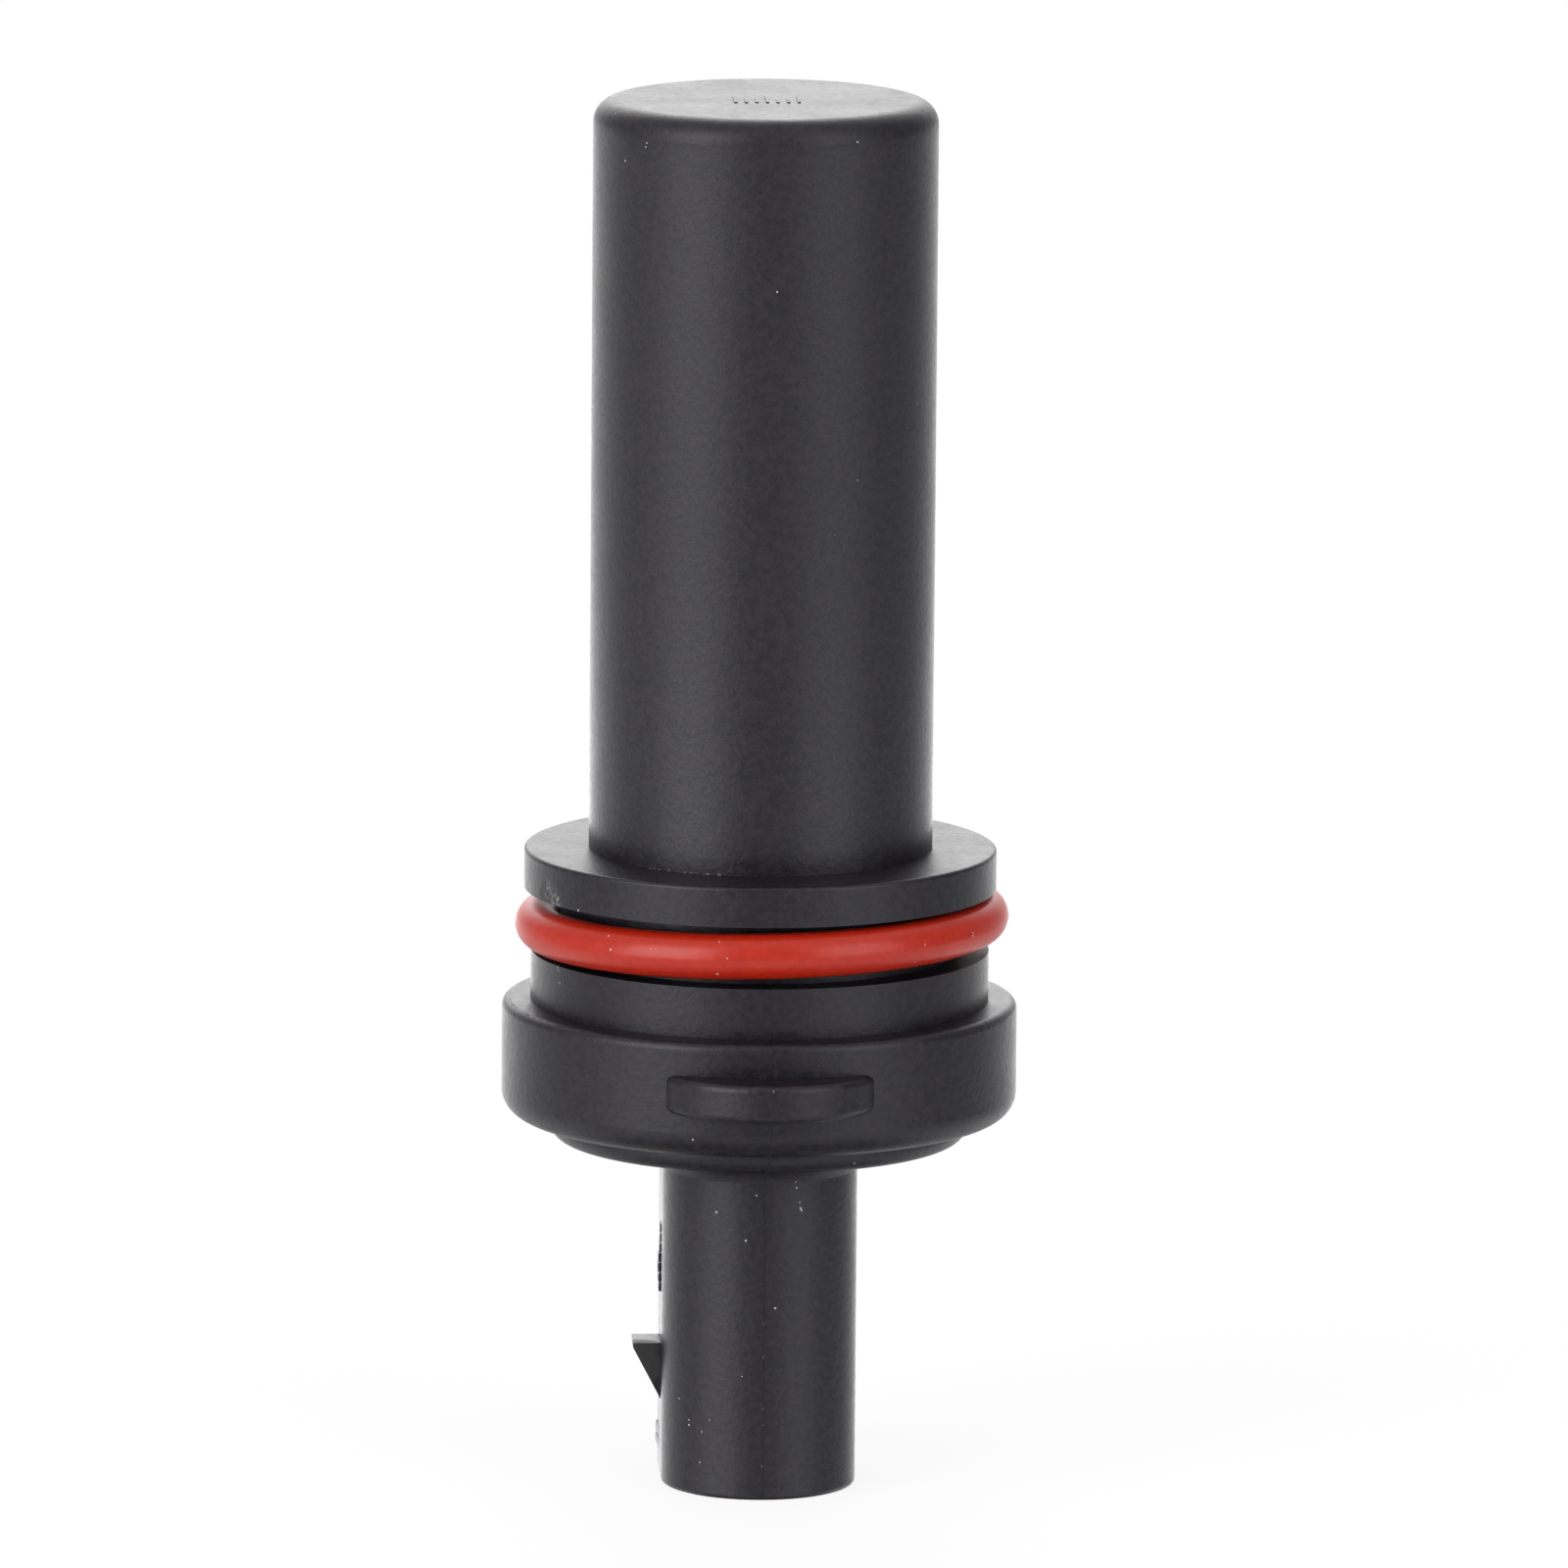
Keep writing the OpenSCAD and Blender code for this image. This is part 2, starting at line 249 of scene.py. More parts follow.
BLACK = opaque(0.0008, 0.0002, 0.0030)
BLACK_WORN = opaque(0.0086, 0.0062, 0.0124)
RUBBED = opaque(0.021, 0.021, 0.022)
SCUFF = opaque(0.15, 0.15, 0.154)
DUST = opaque(0.42, 0.42, 0.43)
# Widths of the moulding's coarse and fine grain, of the clouds in its finish and of the tears in a scuff
GRAIN_CELL = 0.4 * MM
FINE_CELL = 0.15 * MM
CLOUD_CELL = 2.6 * MM
TEAR_CELL = 0.22 * MM
GRAIN_DEPTH = 0.030 * MM
# Stray dust: width of a cell, radius of a speck, share of the cells that hold one
PLASTIC_DUST = (1.1 * MM, 0.03 * MM, 0.10)
RUBBER_DUST = (0.9 * MM, 0.03 * MM, 0.12)
# Gloss of the probe's wall and of the shroud, and what the polish on the probe's foot adds
PROBE_GLOSS = 0.14
SHROUD_GLOSS = 0.09
FOOT_GLOSS = 0.05
# Heights between which the gloss of the probe's wall comes and goes, the polish on its foot fades
# and the gloss of the shroud ends
PROBE_GLOSS_RISE = (8.2 * MM, 9.2 * MM)
PROBE_GLOSS_FALL = (45.5 * MM, 46.8 * MM)
POLISH_FALL = (10 * MM, 28 * MM)
SHROUD_GLOSS_FALL = (-11 * MM, -7.5 * MM)
# The shroud's gloss ends at its flank, and keeps off the lock wedge
FLANK_FADE = (FLANK_X - 0.3 * MM, FLANK_X)
# Size of the normal's part along Z between which a wall becomes a top or an underside
TOP_FADE = (0.3, 0.8)
# Distance from the corner at the probe's foot over which its flecks fade
CORNER_FADE = (0.03 * MM, 0.1 * MM)


def spots(graph, place, piece, marks):
    """1 at the point of a piece that a mark's pixel shows, fading to 0 at the mark's own radius."""
    mask = 0
    for x, y, radius in marks:
        away = graph.distance(place, photo_point(piece, (x, y)))
        mask = (1 - away.step(0.5 * radius * MM, radius * MM)).larger(mask)
    return mask


def stray_dust(graph, place, cell, size, share):
    """Specks of dust strewn at random: one in a share of the cells, with a radius of about one size."""
    inputs = {"Vector": place, "Scale": 1 / cell}
    near = graph.node("ShaderNodeTexVoronoi", inputs=inputs, output="Distance")
    chance = graph.axis(graph.node("ShaderNodeTexVoronoi", inputs=inputs, output="Color"), "X")
    return (near < size / cell) * (chance < share)


def corner_flecks(graph, place):
    """Pale flecks in the corner at the probe's foot."""
    from_wall = (graph.radius(place) - PROBE_R).size()
    from_collar = (graph.axis(place, "Z") - COLLAR_TOP_Z).size()
    fleck = graph.noise(place, TEAR_CELL, detail=3).step(0.52, 0.6)
    return (1 - from_wall.larger(from_collar).step(*CORNER_FADE)) * fleck


def moulded_black(name, piece, specks, rubs, scuffs=(), flecks=()):
    """Fine matt black moulding: grain, clouds of wear, dust, rubbed spots, scuffs and a flecked corner."""
    graph = new_finish(name)
    place = graph.place()
    height = graph.axis(place, "Z")
    grain = graph.noise(place, GRAIN_CELL, detail=5, roughness=0.65)
    cloud = graph.noise(place, CLOUD_CELL, detail=4)
    fine = graph.noise(place, FINE_CELL, detail=3, roughness=0.6)
    normal = graph.node("ShaderNodeTexCoord", output="Normal")
    wall = 1 - graph.axis(normal, "Z").size().step(*TOP_FADE)
    above_collar = height.step(*PROBE_GLOSS_RISE)
    probe = above_collar * (1 - height.step(*PROBE_GLOSS_FALL))
    shroud = (1 - height.step(*SHROUD_GLOSS_FALL)) * graph.axis(place, "X").step(*FLANK_FADE)
    foot = above_collar * (1 - height.step(*POLISH_FALL))
    gloss = PROBE_GLOSS * probe + SHROUD_GLOSS * shroud + FOOT_GLOSS * foot
    smooth = wall * (0.06 * (1 - above_collar) + 0.08 * foot)
    dust = spots(graph, place, piece, specks).larger(stray_dust(graph, place, *PLASTIC_DUST))
    scuff = 0
    if scuffs:
        torn = graph.noise(place, TEAR_CELL, detail=4).step(0.46, 0.70)
        scuff = spots(graph, place, piece, scuffs) * torn
    if flecks:
        scuff = (spots(graph, place, piece, flecks) * corner_flecks(graph, place)).larger(scuff)
    rubbed = spots(graph, place, piece, rubs)
    worn = graph.mix(grain.step(0.34, 0.66), BLACK, BLACK_WORN)
    worn = graph.mix(rubbed, worn, RUBBED)
    colour = graph.mix(dust, graph.mix(scuff, worn, SCUFF), DUST)
    finish = 0.29 + 0.10 * cloud + 0.20 * grain - smooth
    return graph.surface(
        Base_Color=colour,
        Roughness=finish + 0.4 * dust + 0.2 * scuff + 0.18 * rubbed,
        IOR=1.45,
        Specular_Tint=opaque(0.98, 0.965, 1.0),
        Coat_Weight=gloss * (0.4 + 1.2 * fine.step(0.3, 0.7)),
        Coat_Roughness=0.3,
        Normal=graph.bump(grain, GRAIN_DEPTH),
    )


# Distance from the middle over which the ring turns duller to both sides
SEAL_DULL = (9.5 * MM, 12.2 * MM)


def sealing_rubber(name, piece, specks):
    """Satin red rubber, duller at both sides, faintly mottled, with a little dust; its listed specks hold
    dust and two painted glints of reflected light.
    """
    graph = new_finish(name)
    place = graph.place()
    cloud = graph.noise(place, 1.6 * MM, detail=4)
    mottle = graph.noise(place, 0.5 * MM, detail=5, roughness=0.62)
    # dust here also carries the painted glints among the listed specks, in the same pale colour
    dust = spots(graph, place, piece, specks).larger(stray_dust(graph, place, *RUBBER_DUST))
    sides = graph.axis(place, "X").size().step(*SEAL_DULL)
    red = graph.mix(mottle.step(0.3, 0.7), opaque(0.345, 0.012, 0.003), opaque(0.405, 0.017, 0.005))
    return graph.surface(
        Base_Color=graph.mix(dust, red, DUST),
        Roughness=0.29 + 0.08 * cloud + 0.08 * sides + 0.3 * dust,
        IOR=1.34,
        Coat_Weight=0.22 * (1 - sides),
        Coat_Roughness=0.16,
        Normal=graph.bump(mottle, 0.005 * MM),
    )


def flash_black(name):
    """Dull torn edge of the moulding's parting line, with pale flecks painted in as glints of light caught
    on the torn ridge.
    """
    graph = new_finish(name)
    place = graph.place()
    # Pale flecks: painted highlights where the thin ridge catches light
    fleck = graph.noise(place, 0.45 * MM, detail=3).step(0.60, 0.68)
    return graph.surface(
        Base_Color=graph.mix(fleck, BLACK, opaque(0.09, 0.09, 0.095)),
        Roughness=0.45 + 0.2 * fleck,
        Specular_IOR_Level=0.33,
        Normal=graph.bump(graph.noise(place, 0.1 * MM), 0.01 * MM),
    )


def natural_moulding(name):
    """Cream bobbin plastic with soft flow marks."""
    graph = new_finish(name)
    place = graph.place()
    flow = graph.noise(place, 1.8 * MM, detail=3)
    colour = graph.mix(flow, opaque(0.58, 0.52, 0.39), opaque(0.66, 0.60, 0.47))
    return graph.surface(
        Base_Color=colour,
        Roughness=0.42 + 0.12 * flow,
        Normal=graph.bump(graph.noise(place, 0.15 * MM), 0.004 * MM),
    )


WIRE_PITCH = 0.12 * MM


def wound_copper(name, pitch):
    """Enamelled copper wire. With a pitch, its turns lie side by side along the coil."""
    graph = new_finish(name)
    place = graph.place()
    cloud = graph.noise(place, 0.8 * MM, detail=3)
    normal = graph.bump(graph.noise(place, 0.12 * MM), 0.003 * MM)
    shade = cloud
    if pitch:
        turns = 0.5 + 0.5 * (graph.axis(place, "Z") * (2 * math.pi / pitch)).sine()
        normal = graph.bump(turns, 0.3 * pitch, normal)
        shade = 0.5 * cloud + 0.5 * turns
    return graph.surface(
        Base_Color=graph.mix(shade, opaque(0.36, 0.12, 0.04), opaque(0.58, 0.22, 0.08)),
        Metallic=1.0,
        Roughness=0.24 + 0.12 * cloud,
        Coat_Weight=0.5,
        Normal=normal,
    )


def amber_film(name):
    """Thin amber film, wrinkled along its turns."""
    graph = new_finish(name)
    place = graph.place()
    wrinkle = graph.noise(place, 1.2 * MM, detail=3)
    return graph.surface(
        Base_Color=graph.mix(wrinkle, opaque(0.52, 0.28, 0.04), opaque(0.66, 0.40, 0.08)),
        Roughness=0.16 + 0.12 * wrinkle,
        Coat_Weight=0.4,
        Normal=graph.bump(wrinkle, 0.02 * MM),
    )


TURNING_PITCH = 0.12 * MM


def turned_iron(name):
    """Soft iron with the fine rings of turning."""
    graph = new_finish(name)
    place = graph.place()
    along = graph.radius(place) + graph.axis(place, "Z")
    rings = 0.5 + 0.5 * (along * (2 * math.pi / TURNING_PITCH)).sine()
    cloud = graph.noise(place, 0.9 * MM, detail=3)
    return graph.surface(
        Base_Color=graph.mix(cloud, opaque(0.36, 0.36, 0.38), opaque(0.45, 0.45, 0.46)),
        Metallic=1.0,
        Roughness=0.28 + 0.16 * cloud,
        Normal=graph.bump(rings, 0.004 * MM),
    )


def ground_magnet(name):
    """Dark sintered magnet alloy, ground, with small pits."""
    graph = new_finish(name)
    place = graph.place()
    pits = graph.noise(place, 0.25 * MM, detail=4)
    return graph.surface(
        Base_Color=graph.mix(pits, opaque(0.10, 0.10, 0.11), opaque(0.15, 0.15, 0.16)),
        Metallic=0.8,
        Roughness=0.42 + 0.2 * pits,
        Normal=graph.bump(pits, 0.01 * MM),
    )


def tinned_brass(name):
    """Satin tin plate with faint lengthwise drawing marks and dull clouds."""
    graph = new_finish(name)
    place = graph.place()
    stretch = {"Vector": place, "Scale": (1, 1, 12)}
    drawn = graph.node("ShaderNodeMapping", {"vector_type": "TEXTURE"}, stretch)
    marks = graph.noise(drawn, 0.08 * MM)
    cloud = graph.noise(place, 0.9 * MM, detail=3)
    return graph.surface(
        Base_Color=graph.mix(cloud, opaque(0.66, 0.65, 0.62), opaque(0.76, 0.75, 0.72)),
        Metallic=1.0,
        Roughness=0.22 + 0.14 * cloud + 0.06 * marks,
        Normal=graph.bump(marks, 0.002 * MM),
    )


def cast_resin(name):
    """Black potting resin with a soft, slightly wavy gloss."""
    graph = new_finish(name)
    place = graph.place()
    wave = graph.noise(place, 2.2 * MM, detail=2)
    return graph.surface(
        Base_Color=graph.mix(wave, opaque(0.012, 0.012, 0.014), opaque(0.022, 0.022, 0.024)),
        Roughness=0.12 + 0.12 * wave,
        Normal=graph.bump(wave, 0.05 * MM),
    )


# Dust, scuffs, rubbed spots and flecks that the photograph shows, and on the ring also two painted glints
# of reflected light: pixel, and radius in millimetres
PROBE_SPECKS = [
    (793, 298, 0.06), (628, 116, 0.05), (875, 145, 0.06), (638, 164, 0.06), (660, 146, 0.05),
    (659, 150, 0.05), (559, 906, 0.07), (569, 918, 0.08), (590, 929, 0.07),
]
PROBE_SCUFFS = [(560, 909, 0.8), (566, 919, 0.8)]
PROBE_RUBS = [(556, 914, 0.9), (564, 921, 0.8)]
CORNER_FLECKS = [(676, 884, 1.0), (700, 886, 1.2), (722, 888, 1.0)]
BODY_SPECKS = [
    (731, 1237, 0.08), (761, 1266, 0.07), (791, 1335, 0.07), (772, 1220, 0.05), (812, 1206, 0.04),
    (813, 1212, 0.06), (816, 1227, 0.05), (817, 1233, 0.08), (818, 1235, 0.07), (693, 1427, 0.06),
    (703, 1449, 0.05), (703, 1454, 0.07), (716, 1461, 0.05), (724, 1449, 0.04), (714, 1492, 0.05),
    (707, 1163, 0.06), (872, 1187, 0.05), (571, 1003, 0.05), (568, 984, 0.04), (569, 987, 0.05),
    (570, 990, 0.05),
]
BODY_RUBS = [(652, 1376, 1.3), (660, 1395, 1.1)]
SEAL_DUST_AND_GLINTS = [
    (732, 994, 0.08), (621, 955, 0.06), (623, 969, 0.07), (734, 961, 0.05), (742, 978, 0.05),
    # The first two specks on the next line are painted glints of light reflected by the ring's top through
    # the gap under the collar
    (557, 927, 0.05), (559, 929, 0.05), (993, 952, 0.05), (993, 955, 0.06), (944, 964, 0.05),
    (934, 982, 0.05),
]


def dress(piece, material):
    piece.data.materials.clear()
    piece.data.materials.append(material)


probe_black = moulded_black(
    "probe_black", NODES["probe_housing"], PROBE_SPECKS, PROBE_RUBS, PROBE_SCUFFS, CORNER_FLECKS,
)
body_black = moulded_black("body_black", NODES["connector_body"], BODY_SPECKS, BODY_RUBS)
iron = turned_iron("turned_iron")
tin = tinned_brass("tinned_brass")
lead_copper = wound_copper("lead_copper", None)
dress(NODES["probe_housing"], probe_black)
dress(NODES["connector_body"], body_black)
dress(NODES["bobbin"], natural_moulding("bobbin_cream"))
dress(NODES["coil_winding"], wound_copper("winding_copper", WIRE_PITCH))
dress(NODES["coil_tape"], amber_film("amber_film"))
dress(NODES["pole_pin"], iron)
dress(NODES["back_plate"], iron)
dress(NODES["magnet"], ground_magnet("ground_magnet"))
dress(NODES["potting_fill"], cast_resin("potting_black"))
for end in ("front", "rear"):
    dress(NODES["terminal_" + end], tin)
    dress(NODES["coil_pin_" + end], tin)
    dress(NODES["lead_wire_" + end], lead_copper)


# Pieces

def add_piece(name, shape):
    """Makes a finished shape a piece that rides on the sensor."""
    mesh = bpy.data.meshes.new(name)
    shape.to_mesh(mesh)
    shape.free()
    piece = bpy.data.objects.new(name, mesh)
    bpy.context.scene.collection.objects.link(piece)
    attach(piece, "root")
    return piece


def box(shape, low, high):
    """Adds a box between two corners to a shape."""
    low, high = Vector(low), Vector(high)
    place = Matrix.Translation((low + high) / 2) @ Matrix.Diagonal((*(high - low), 1))
    bmesh.ops.create_cube(shape, size=1, matrix=place)


def soften(shape, offset):
    bmesh.ops.bevel(
        shape, geom=shape.edges[:], offset=offset, segments=2, profile=0.5, affect="EDGES", material=-1,
    )


# The ring has sat down askew in its groove, and its mould left a fine seam round the outside
SEAL_SHIFT = Vector((0.1, 0, -0.08)) * MM
SEAL_TURNS = [(math.radians(-1.35), "Y"), (math.radians(-0.7), "X")]
SEAL_SEAM = 0.02 * MM
SEAL_SECTION_SIDES = 64
SEAL_STEPS = 200


def seated_seal():
    """Rubber ring as it sits in its groove. It stands for the CAD ring."""
    shape = bmesh.new()
    upright = Matrix.Translation((SEAL_R, 0, SEAL_Z)) @ Matrix.Rotation(math.pi / 2, 4, "X")
    bmesh.ops.create_circle(shape, segments=SEAL_SECTION_SIDES, radius=SEAL_SECTION / 2, matrix=upright)
    outermost = max(shape.verts, key=lambda vertex: vertex.co.x)
    outermost.co.x += SEAL_SEAM
    outline = shape.verts[:] + shape.edges[:]
    bmesh.ops.spin(
        shape, geom=outline, cent=(0, 0, 0), axis=(0, 0, 1), angle=2 * math.pi, steps=SEAL_STEPS,
        use_merge=True,
    )
    bmesh.ops.remove_doubles(shape, verts=shape.verts, dist=MERGE_DISTANCE)
    bmesh.ops.recalc_face_normals(shape, faces=shape.faces)
    for angle, axis in SEAL_TURNS:
        turn = Matrix.Rotation(angle, 3, axis)
        bmesh.ops.rotate(shape, verts=shape.verts, cent=(0, 0, SEAL_Z), matrix=turn)
    bmesh.ops.translate(shape, verts=shape.verts, vec=SEAL_SHIFT)
    for face in shape.faces:
        face.smooth = True
    piece = add_piece("seated_seal", shape)
    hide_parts("seal_ring")
    bpy.context.view_layer.update()
    seal_red = sealing_rubber("seal_red", piece, SEAL_DUST_AND_GLINTS)
    dress(piece, seal_red)
    dress(NODES["seal_ring"], seal_red)


SEAM_HALF_WIDTH = 0.05 * MM
SEAM_RISE = 0.03 * MM
SEAM_SINK = 0.05 * MM
SEAM_STEP = 0.2 * MM
SEAM_WANDER = 0.035 * MM
# Lengths over which the seam's height and its course change, and the line of noise that its course follows
SEAM_TEAR_LENGTH = 0.7 * MM
SEAM_WANDER_LENGTH = 0.5 * MM
SEAM_WANDER_LINE = 5
# What the seam leaves free below the land's top, above the rim and round the socket
LAND_TOP_MARGIN = 0.1 * MM
RIM_MARGIN = 0.3 * MM
SOCKET_MARGIN = 0.3 * MM


def on_outside(face):
    """True for a face of the body's own outside, not of its socket, cavity or rim."""
    middle = face.calc_center_median()
    if middle.z > LAND_TOP_Z - LAND_TOP_MARGIN or middle.z < RIM_Z + RIM_MARGIN:
        return False
    if middle.z > SOCKET_Z:
        return abs(middle.y) > SOCKET_R + SOCKET_MARGIN
    return abs(middle.y) > (CAVITY_REACH if middle.z < CAVITY_Z else -FLANK_X)


def parting_seam():
    """Thin raised line where the halves of the body's mould met, all along its front and back."""
    shape = bmesh.new()
    shape.from_mesh(NODES["connector_body"].data)
    bmesh.ops.remove_doubles(shape, verts=shape.verts, dist=MERGE_DISTANCE)
    for side in (-1, 1):
        whole = shape.verts[:] + shape.edges[:] + shape.faces[:]
        edge = (side * SEAM_HALF_WIDTH, 0, 0)
        bmesh.ops.bisect_plane(shape, geom=whole, plane_co=edge, plane_no=(side, 0, 0), clear_outer=True)
    inside = [face for face in shape.faces if not on_outside(face)]
    bmesh.ops.delete(shape, geom=inside, context="FACES")
    level = RIM_Z
    while level < LAND_TOP_Z:
        whole = shape.verts[:] + shape.edges[:] + shape.faces[:]
        bmesh.ops.bisect_plane(shape, geom=whole, plane_co=(0, 0, level), plane_no=(0, 0, 1))
        level += SEAM_STEP
    shape.normal_update()
    for vertex in shape.verts:
        torn = 0.6 + 0.8 * noise.noise(vertex.co / SEAM_TEAR_LENGTH)
        aside = noise.noise(Vector((SEAM_WANDER_LINE, 0, vertex.co.z / SEAM_WANDER_LENGTH)))
        vertex.co += vertex.normal * SEAM_RISE * torn + Vector((SEAM_WANDER * aside, 0, 0))
    bmesh.ops.solidify(shape, geom=shape.faces[:], thickness=SEAM_RISE + SEAM_SINK)
    bmesh.ops.recalc_face_normals(shape, faces=shape.faces)
    dress(add_piece("parting_seam", shape), flash_black("flash_black"))


TICK_PITCH = 0.55 * MM
TICK_WIDTH = 0.17 * MM
TICK_RISE = 0.06 * MM
TICK_SINK = 0.1 * MM
TICK_ROUND = 0.03 * MM
TICK_FRONT = -1.6 * MM
TICK_BACK, LONG_TICK_BACK = -0.4 * MM, 0.6 * MM
TICKS_EACH_SIDE = 3
LONG_TICK_EVERY = 3


def tip_ticks():
    """Plain row of moulded ticks in the middle of the tip, every third one longer."""
    shape = bmesh.new()
    for count in range(-TICKS_EACH_SIDE, TICKS_EACH_SIDE + 1):
        across = count * TICK_PITCH
        back = TICK_BACK if count % LONG_TICK_EVERY else LONG_TICK_BACK
        low = (across - TICK_WIDTH / 2, TICK_FRONT, TIP_Z - TICK_SINK)
        box(shape, low, (across + TICK_WIDTH / 2, back, TIP_Z + TICK_RISE))
    soften(shape, TICK_ROUND)
    dress(add_piece("tip_ticks", shape), probe_black)


MARK_SINK = 0.2 * MM
BAR_FRONT, BAR_BACK = -1.1 * MM, -0.1 * MM
BAR_TOP_Z = -11.9 * MM
BAR_PITCH = 0.53 * MM
BAR_GAP = 0.09 * MM
BAR_ROUND = 0.07 * MM
BAR_RISES = [0.08, 0.09, 0.11, 0.16, 0.18, 0.16, 0.14]  # millimetres, from the top bar down
PAD_FRONT, PAD_BACK = -0.6 * MM, 1.9 * MM
PAD_RISE = 0.12 * MM
PAD_ROUND = 0.05 * MM
PAD_FRONT_SINK = 0.01 * MM
PAD_LEVELS = [(-23.55, -23.0), (-24.15, -23.65)]  # millimetres


def flank_marks():
    """Plain moulded bars, and two low pads that slope up to the back, on the flank that has the wedge."""
    shape = bmesh.new()
    top = BAR_TOP_Z
    for rise in BAR_RISES:
        low = (FLANK_X - rise * MM, BAR_FRONT, top - BAR_PITCH + BAR_GAP)
        box(shape, low, (FLANK_X + MARK_SINK, BAR_BACK, top))
        top -= BAR_PITCH
    soften(shape, BAR_ROUND)
    pads = bmesh.new()
    for low, high in PAD_LEVELS:
        box(pads, (FLANK_X - PAD_RISE, PAD_FRONT, low * MM), (FLANK_X + MARK_SINK, PAD_BACK, high * MM))
    for vertex in pads.verts:
        if vertex.co.x < FLANK_X and vertex.co.y < (PAD_FRONT + PAD_BACK) / 2:
            vertex.co.x = FLANK_X + PAD_FRONT_SINK
    soften(pads, PAD_ROUND)
    dress(add_piece("flank_bars", shape), body_black)
    dress(add_piece("flank_pads", pads), body_black)


seated_seal()
parting_seam()
tip_ticks()
flank_marks()


# Studio

# The room's radiance at eye level, on the floor around, straight below and overhead
ROOM_RADIANCE = 0.445
LOW_RADIANCE = 1.08
NADIR_RADIANCE = 0.3
HIGH_RADIANCE = 0.9
# Soft lamps by azimuth from the camera (left is negative), half width, and radiance low and high,
# and the width over which their sides fade. All angles are in degrees.
SOFT_LAMPS = [(-50, 19, 1.6, 4.1), (44, 18, 1.0, 2.15)]
LAMP_FADE = 9
# Bright floor behind the part by azimuth, sharpness and radiance, and the same for the backdrop
# and for the two sides, of which one takes light away
FLOOR_GLOWS = [(-155, 6, 1.15), (165, 8, 1.3), (180, 20, 2.3)]
BACKDROP = (180, 12, 3.7)
SIDE_GLOWS = [(108, 6, -0.15), (-85, 10, 0.25)]
# Heights of a direction, as the sine of its elevation, between which one part of the room becomes the next
NADIR_TO_LOW = (-0.9, -0.6)
LOW_TO_ROOM = (-0.38, -0.12)
ROOM_TO_HIGH = (0.5, 0.9)
LAMP_RISE = (-0.2, 0.25)
FLOOR_GLOW_FALL = (-0.12, 0.1)
BACKDROP_RISE = (-0.05, 0.2)


def facing(graph, level, azimuth):
    """Cosine of the angle between a level direction and an azimuth."""
    turn = math.radians(azimuth)
    axis = (math.sin(turn), -math.cos(turn), 0)
    return graph.node("ShaderNodeVectorMath", {"operation": "DOT_PRODUCT"}, {0: level, 1: axis}, "Value")


def glow(graph, level, azimuth, sharpness):
    """1 towards an azimuth, fading to the sides, for a level direction."""
    return facing(graph, level, azimuth).larger(0) ** sharpness


def panel(graph, level, azimuth, half_width):
    """1 within a half width of an azimuth, 0 outside, for a level direction."""
    far, near = (math.cos(math.radians(half_width + side * LAMP_FADE)) for side in (1, -1))
    return facing(graph, level, azimuth).step(far, near)


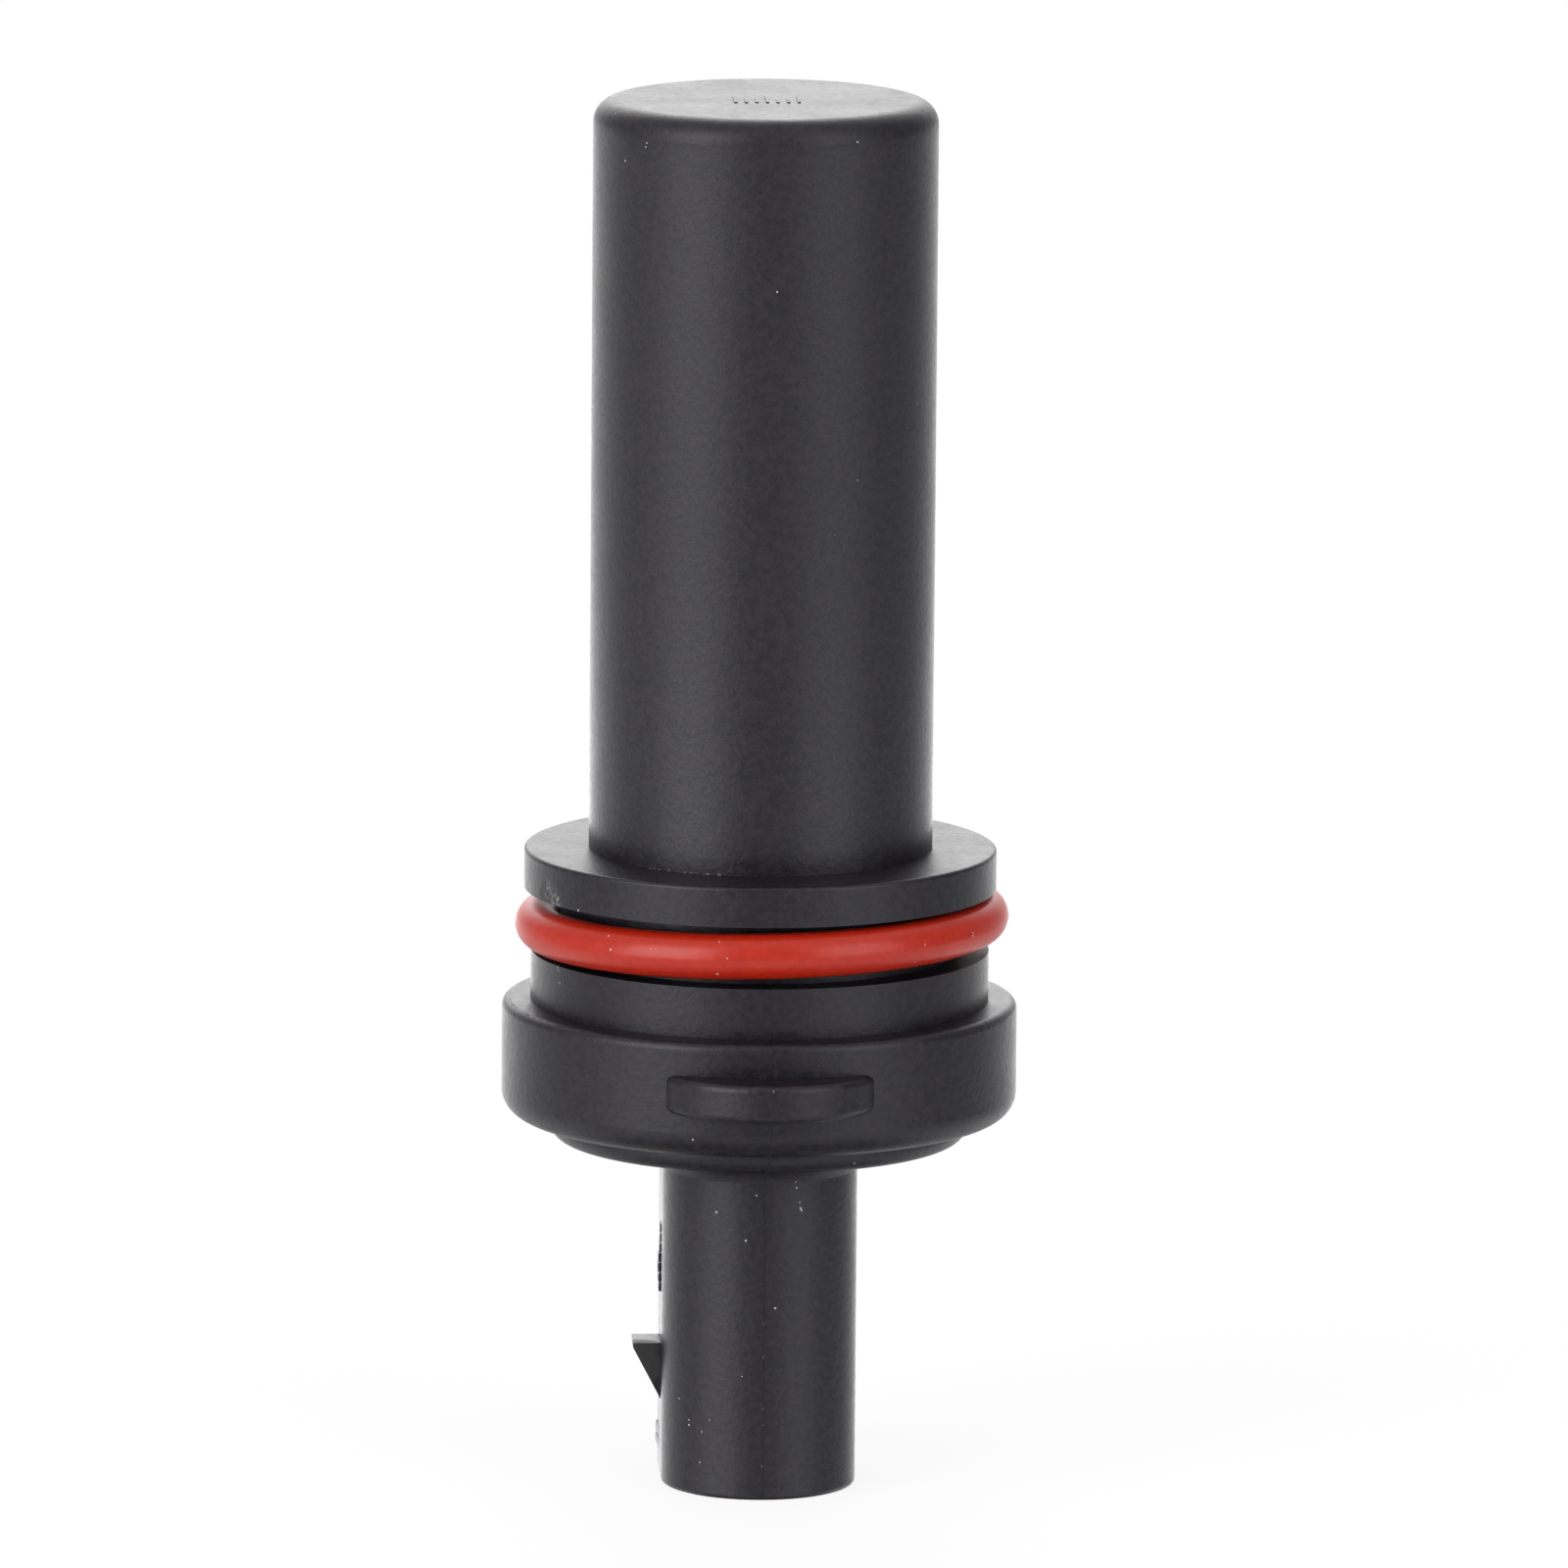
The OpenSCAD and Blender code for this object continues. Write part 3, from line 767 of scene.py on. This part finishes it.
def white_room():
    """World that the camera sees as plain white. What lights the part is a pale room with soft lamps."""
    world = bpy.data.worlds.new("white_room")
    bpy.context.scene.world = world
    graph = Graph(world)
    toward = graph.node("ShaderNodeTexCoord", output="Generated")
    level = graph.node("ShaderNodeVectorMath", {"operation": "NORMALIZE"}, {0: graph.flat(toward)})
    height = graph.axis(toward, "Z")
    low_share = height.step(*NADIR_TO_LOW)
    level_share = height.step(*LOW_TO_ROOM)
    high_share = height.step(*ROOM_TO_HIGH)
    lamp_rise = height.step(*LAMP_RISE)
    lamps = 0
    for azimuth, half_width, low, high in SOFT_LAMPS:
        lamps = lamps + panel(graph, level, azimuth, half_width) * (low + (high - low) * lamp_rise)
    floor_share = 1 - height.step(*FLOOR_GLOW_FALL)
    for azimuth, sharpness, radiance in FLOOR_GLOWS:
        lamps = lamps + radiance * glow(graph, level, azimuth, sharpness) * floor_share
    azimuth, sharpness, radiance = BACKDROP
    lamps = lamps + radiance * glow(graph, level, azimuth, sharpness) * height.step(*BACKDROP_RISE)
    for azimuth, sharpness, radiance in SIDE_GLOWS:
        lamps = lamps + radiance * glow(graph, level, azimuth, sharpness)
    room = NADIR_RADIANCE + (LOW_RADIANCE - NADIR_RADIANCE) * low_share
    room = room + (ROOM_RADIANCE - LOW_RADIANCE + lamps) * level_share
    room = room * (1 - high_share) + HIGH_RADIANCE * high_share
    seen = graph.in_view()
    strength = seen + (1 - seen) * room
    shader = graph.node("ShaderNodeBackground", inputs={"Color": opaque(1, 1, 1), "Strength": strength})
    graph.node("ShaderNodeOutputWorld", inputs={"Surface": shader})


FLOOR_PALE = opaque(0.88, 0.88, 0.88)
FLOOR_R = 4
FLOOR_SIDES = 96
# Share of plain white that the camera sees beside the rim, and the distances over which it becomes all
FLOOR_PLAIN = 0.87
FLOOR_FADE = (30 * MM, 110 * MM)


def white_floor():
    """Wide pale floor under the rim. It fades to plain white away from the part and keeps its shadow."""
    graph = new_finish("white_floor")
    away = graph.distance(graph.place(), (0, 0, RIM_Z))
    plain = FLOOR_PLAIN + (1 - FLOOR_PLAIN) * away.step(*FLOOR_FADE)
    seen = graph.in_view() * plain
    pale = graph.node("ShaderNodeBsdfDiffuse", inputs={"Color": FLOOR_PALE})
    glowing = graph.node("ShaderNodeEmission", inputs={"Color": opaque(1, 1, 1), "Strength": 1.0})
    lit = graph.node("ShaderNodeMixShader", inputs={0: seen, 1: pale, 2: glowing})
    under = graph.node("ShaderNodeNewGeometry", output="Backfacing")
    clear = graph.node("ShaderNodeBsdfTransparent")
    shader = graph.node("ShaderNodeMixShader", inputs={0: under, 1: lit, 2: clear})
    graph.node("ShaderNodeOutputMaterial", inputs={"Surface": shader})
    mesh = bpy.data.meshes.new("floor")
    shape = bmesh.new()
    bmesh.ops.create_circle(shape, cap_ends=True, segments=FLOOR_SIDES, radius=FLOOR_R)
    bmesh.ops.translate(shape, verts=shape.verts, vec=(0, 0, RIM_Z))
    shape.to_mesh(mesh)
    shape.free()
    mesh.materials.append(graph.owner)
    floor = bpy.data.objects.new("floor", mesh)
    floor.visible_glossy = False
    bpy.context.scene.collection.objects.link(floor)


white_room()
white_floor()
bpy.context.scene.view_settings.view_transform = "Standard"
